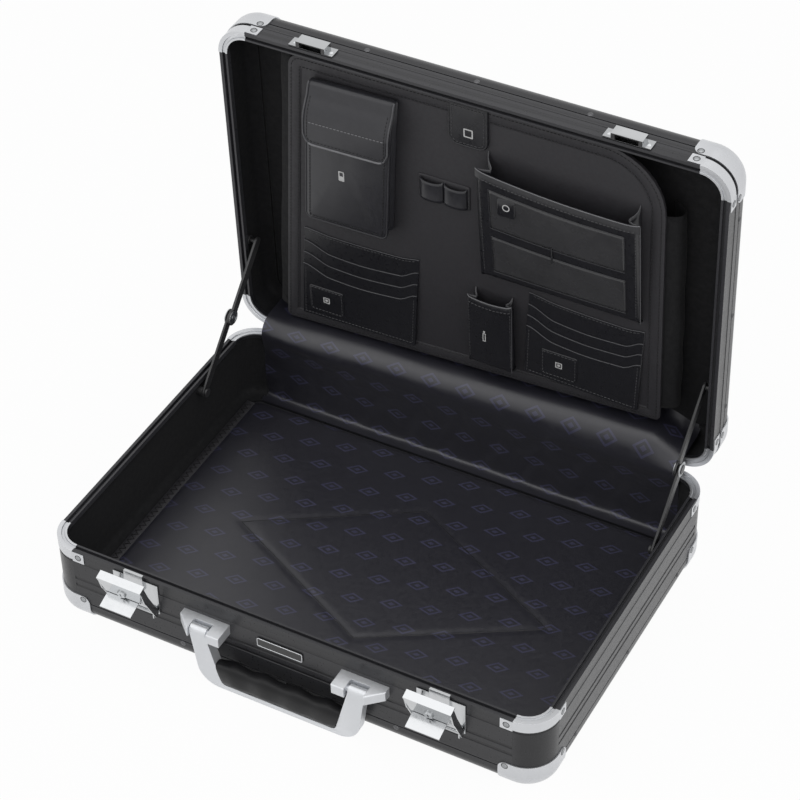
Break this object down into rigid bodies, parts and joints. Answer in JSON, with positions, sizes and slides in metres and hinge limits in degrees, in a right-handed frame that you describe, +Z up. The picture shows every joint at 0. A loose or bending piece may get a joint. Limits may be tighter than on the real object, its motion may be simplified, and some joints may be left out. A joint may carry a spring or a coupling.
{
  "type": "briefcase",
  "caption": "Hard attaché case with ribbed black walls, silver corner caps, a swinging carry handle, hasp latches and a hinged lid on folding stays with a pocketed organiser.",
  "frame": {"origin": "middle of the rest plane under the base, below the corner caps", "axes": "+X to the right along the front, -Y out of the front with the handle and latches, +Z up; the lid stands open at rest"},
  "size_m": [0.4642, 0.3953, 0.4076],
  "materials": {
    "black_aluminium": "satin black anodised",
    "silver_cast": "satin die-cast",
    "chrome": "polished",
    "black_steel": "satin black",
    "lining": "matt black textile",
    "satin": "satin weave with a small printed motif",
    "black_leather": "smooth, stitched edges",
    "grip_rubber": "soft, satin",
    "badge": "blank, gloss"
  },
  "bodies": {
    "base": {"base_front_wall": "black_aluminium", "base_rear_wall": "black_aluminium", "base_side_walls": "black_aluminium", "base_corner_posts": "black_aluminium", "base_edge_rails": "black_aluminium", "base_floor_panel": "black_aluminium", "base_ball_corners": "silver_cast", "base_rim_corners": "silver_cast", "base_rivets": "silver_cast", "base_floor_pad": "satin", "base_wall_liner": "lining", "base_rear_liner": "satin", "hinge_base_leaf": "black_steel", "hinge_pin": "black_steel", "latch_plate_left": "chrome", "latch_plate_right": "chrome", "handle_brackets": "silver_cast", "badge_plate": "badge", "stay_base_pivots": "black_steel", "hinge_cloth": "satin"},
    "lid": {"lid_front_wall": "black_aluminium", "lid_rear_wall": "black_aluminium", "lid_side_walls": "black_aluminium", "lid_corner_posts": "black_aluminium", "lid_edge_rails": "black_aluminium", "lid_top_panel": "black_aluminium", "lid_ball_corners": "silver_cast", "lid_rim_corners": "silver_cast", "lid_rivets": "silver_cast", "lid_back_liner": "lining", "lid_wall_liner": "lining", "lid_rear_liner": "satin", "hinge_lid_leaf": "black_steel", "keeper_left": "chrome", "keeper_right": "chrome", "stay_lid_pivots": "black_steel", "organiser_gussets": "lining"},
    "organiser": {"organiser_panel": "lining", "phone_pouch": "black_leather", "pen_loops": "black_leather", "accessory_pocket": "black_leather", "card_pocket_left": "black_leather", "card_pocket_right": "black_leather", "slim_pouch": "black_leather", "closure_tab": "black_leather"},
    "phone_flap": {"phone_flap": "black_leather"},
    "stay_lower_left": {"stay_lower_left": "black_steel"},
    "stay_upper_left": {"stay_upper_left": "black_steel"},
    "latch_hasp_left": {"latch_hasp_left": "chrome"},
    "latch_flap_left": {"latch_flap_left": "chrome"},
    "lock_plug_left": {"lock_plug_left": "chrome"},
    "stay_lower_right": {"stay_lower_right": "black_steel"},
    "stay_upper_right": {"stay_upper_right": "black_steel"},
    "latch_hasp_right": {"latch_hasp_right": "chrome"},
    "latch_flap_right": {"latch_flap_right": "chrome"},
    "lock_plug_right": {"lock_plug_right": "chrome"},
    "handle": {"handle_bow": "silver_cast", "handle_grip": "grip_rubber"}
  },
  "joints": [
    {"name": "lid_hinge", "type": "hinge", "parent": "base", "child": "lid", "pos_m": [0, 0.1632, 0.0782], "axis": [1, 0, 0], "range_deg": [0, 88], "deforming": ["hinge_cloth"]},
    {"name": "stay_lower_left", "type": "hinge", "parent": "base", "child": "stay_lower_left", "pos_m": [-0.2166, 0.072, 0.066], "axis": [1, 0, 0], "range_deg": [-1, 123]},
    {"name": "stay_upper_left", "type": "hinge", "parent": "stay_lower_left", "child": "stay_upper_left", "pos_m": [-0.2166, 0.12073, 0.11724], "axis": [1, 0, 0], "range_deg": [-164, 1]},
    {"name": "stay_lower_right", "type": "hinge", "parent": "base", "child": "stay_lower_right", "pos_m": [0.2166, 0.072, 0.066], "axis": [1, 0, 0], "range_deg": [-1, 123]},
    {"name": "stay_upper_right", "type": "hinge", "parent": "stay_lower_right", "child": "stay_upper_right", "pos_m": [0.2166, 0.12073, 0.11724], "axis": [1, 0, 0], "range_deg": [-164, 1]},
    {"name": "latch_hasp_left", "type": "hinge", "parent": "base", "child": "latch_hasp_left", "pos_m": [-0.141, -0.164, 0.046], "axis": [1, 0, 0], "range_deg": [-20, 15]},
    {"name": "latch_flap_left", "type": "hinge", "parent": "latch_hasp_left", "child": "latch_flap_left", "pos_m": [-0.141, -0.17575, 0.06833], "axis": [1, 0, 0], "range_deg": [0, 86]},
    {"name": "lock_plug_left", "type": "hinge", "parent": "latch_hasp_left", "child": "lock_plug_left", "pos_m": [-0.141, -0.18026, 0.07488], "axis": [0, -0.9397, -0.342], "range_deg": [0, 90]},
    {"name": "latch_hasp_right", "type": "hinge", "parent": "base", "child": "latch_hasp_right", "pos_m": [0.141, -0.164, 0.046], "axis": [1, 0, 0], "range_deg": [-20, 15]},
    {"name": "latch_flap_right", "type": "hinge", "parent": "latch_hasp_right", "child": "latch_flap_right", "pos_m": [0.141, -0.17575, 0.06833], "axis": [1, 0, 0], "range_deg": [0, 86]},
    {"name": "lock_plug_right", "type": "hinge", "parent": "latch_hasp_right", "child": "lock_plug_right", "pos_m": [0.141, -0.18026, 0.07488], "axis": [0, -0.9397, -0.342], "range_deg": [0, 90]},
    {"name": "handle_swing", "type": "hinge", "parent": "base", "child": "handle", "pos_m": [0, -0.172, 0.057], "axis": [-1, 0, 0], "range_deg": [0, 95]},
    {"name": "organiser_tilt", "type": "hinge", "parent": "lid", "child": "organiser", "pos_m": [0, 0.17536, 0.09383], "axis": [-1, 0, 0], "range_deg": [-12, 0], "deforming": ["organiser_gussets"]},
    {"name": "phone_flap", "type": "hinge", "parent": "organiser", "child": "phone_flap", "pos_m": [-0.104, 0.16066, 0.37449], "axis": [1, 0, 0], "range_deg": [-80, 0]}
  ],
  "couplings": [
    {"joint": "stay_lower_left", "follows": "lid_hinge", "ratio": 1.3816},
    {"joint": "stay_upper_left", "follows": "lid_hinge", "ratio": -1.8455},
    {"joint": "stay_lower_right", "follows": "lid_hinge", "ratio": 1.3816},
    {"joint": "stay_upper_right", "follows": "lid_hinge", "ratio": -1.8455}
  ]
}
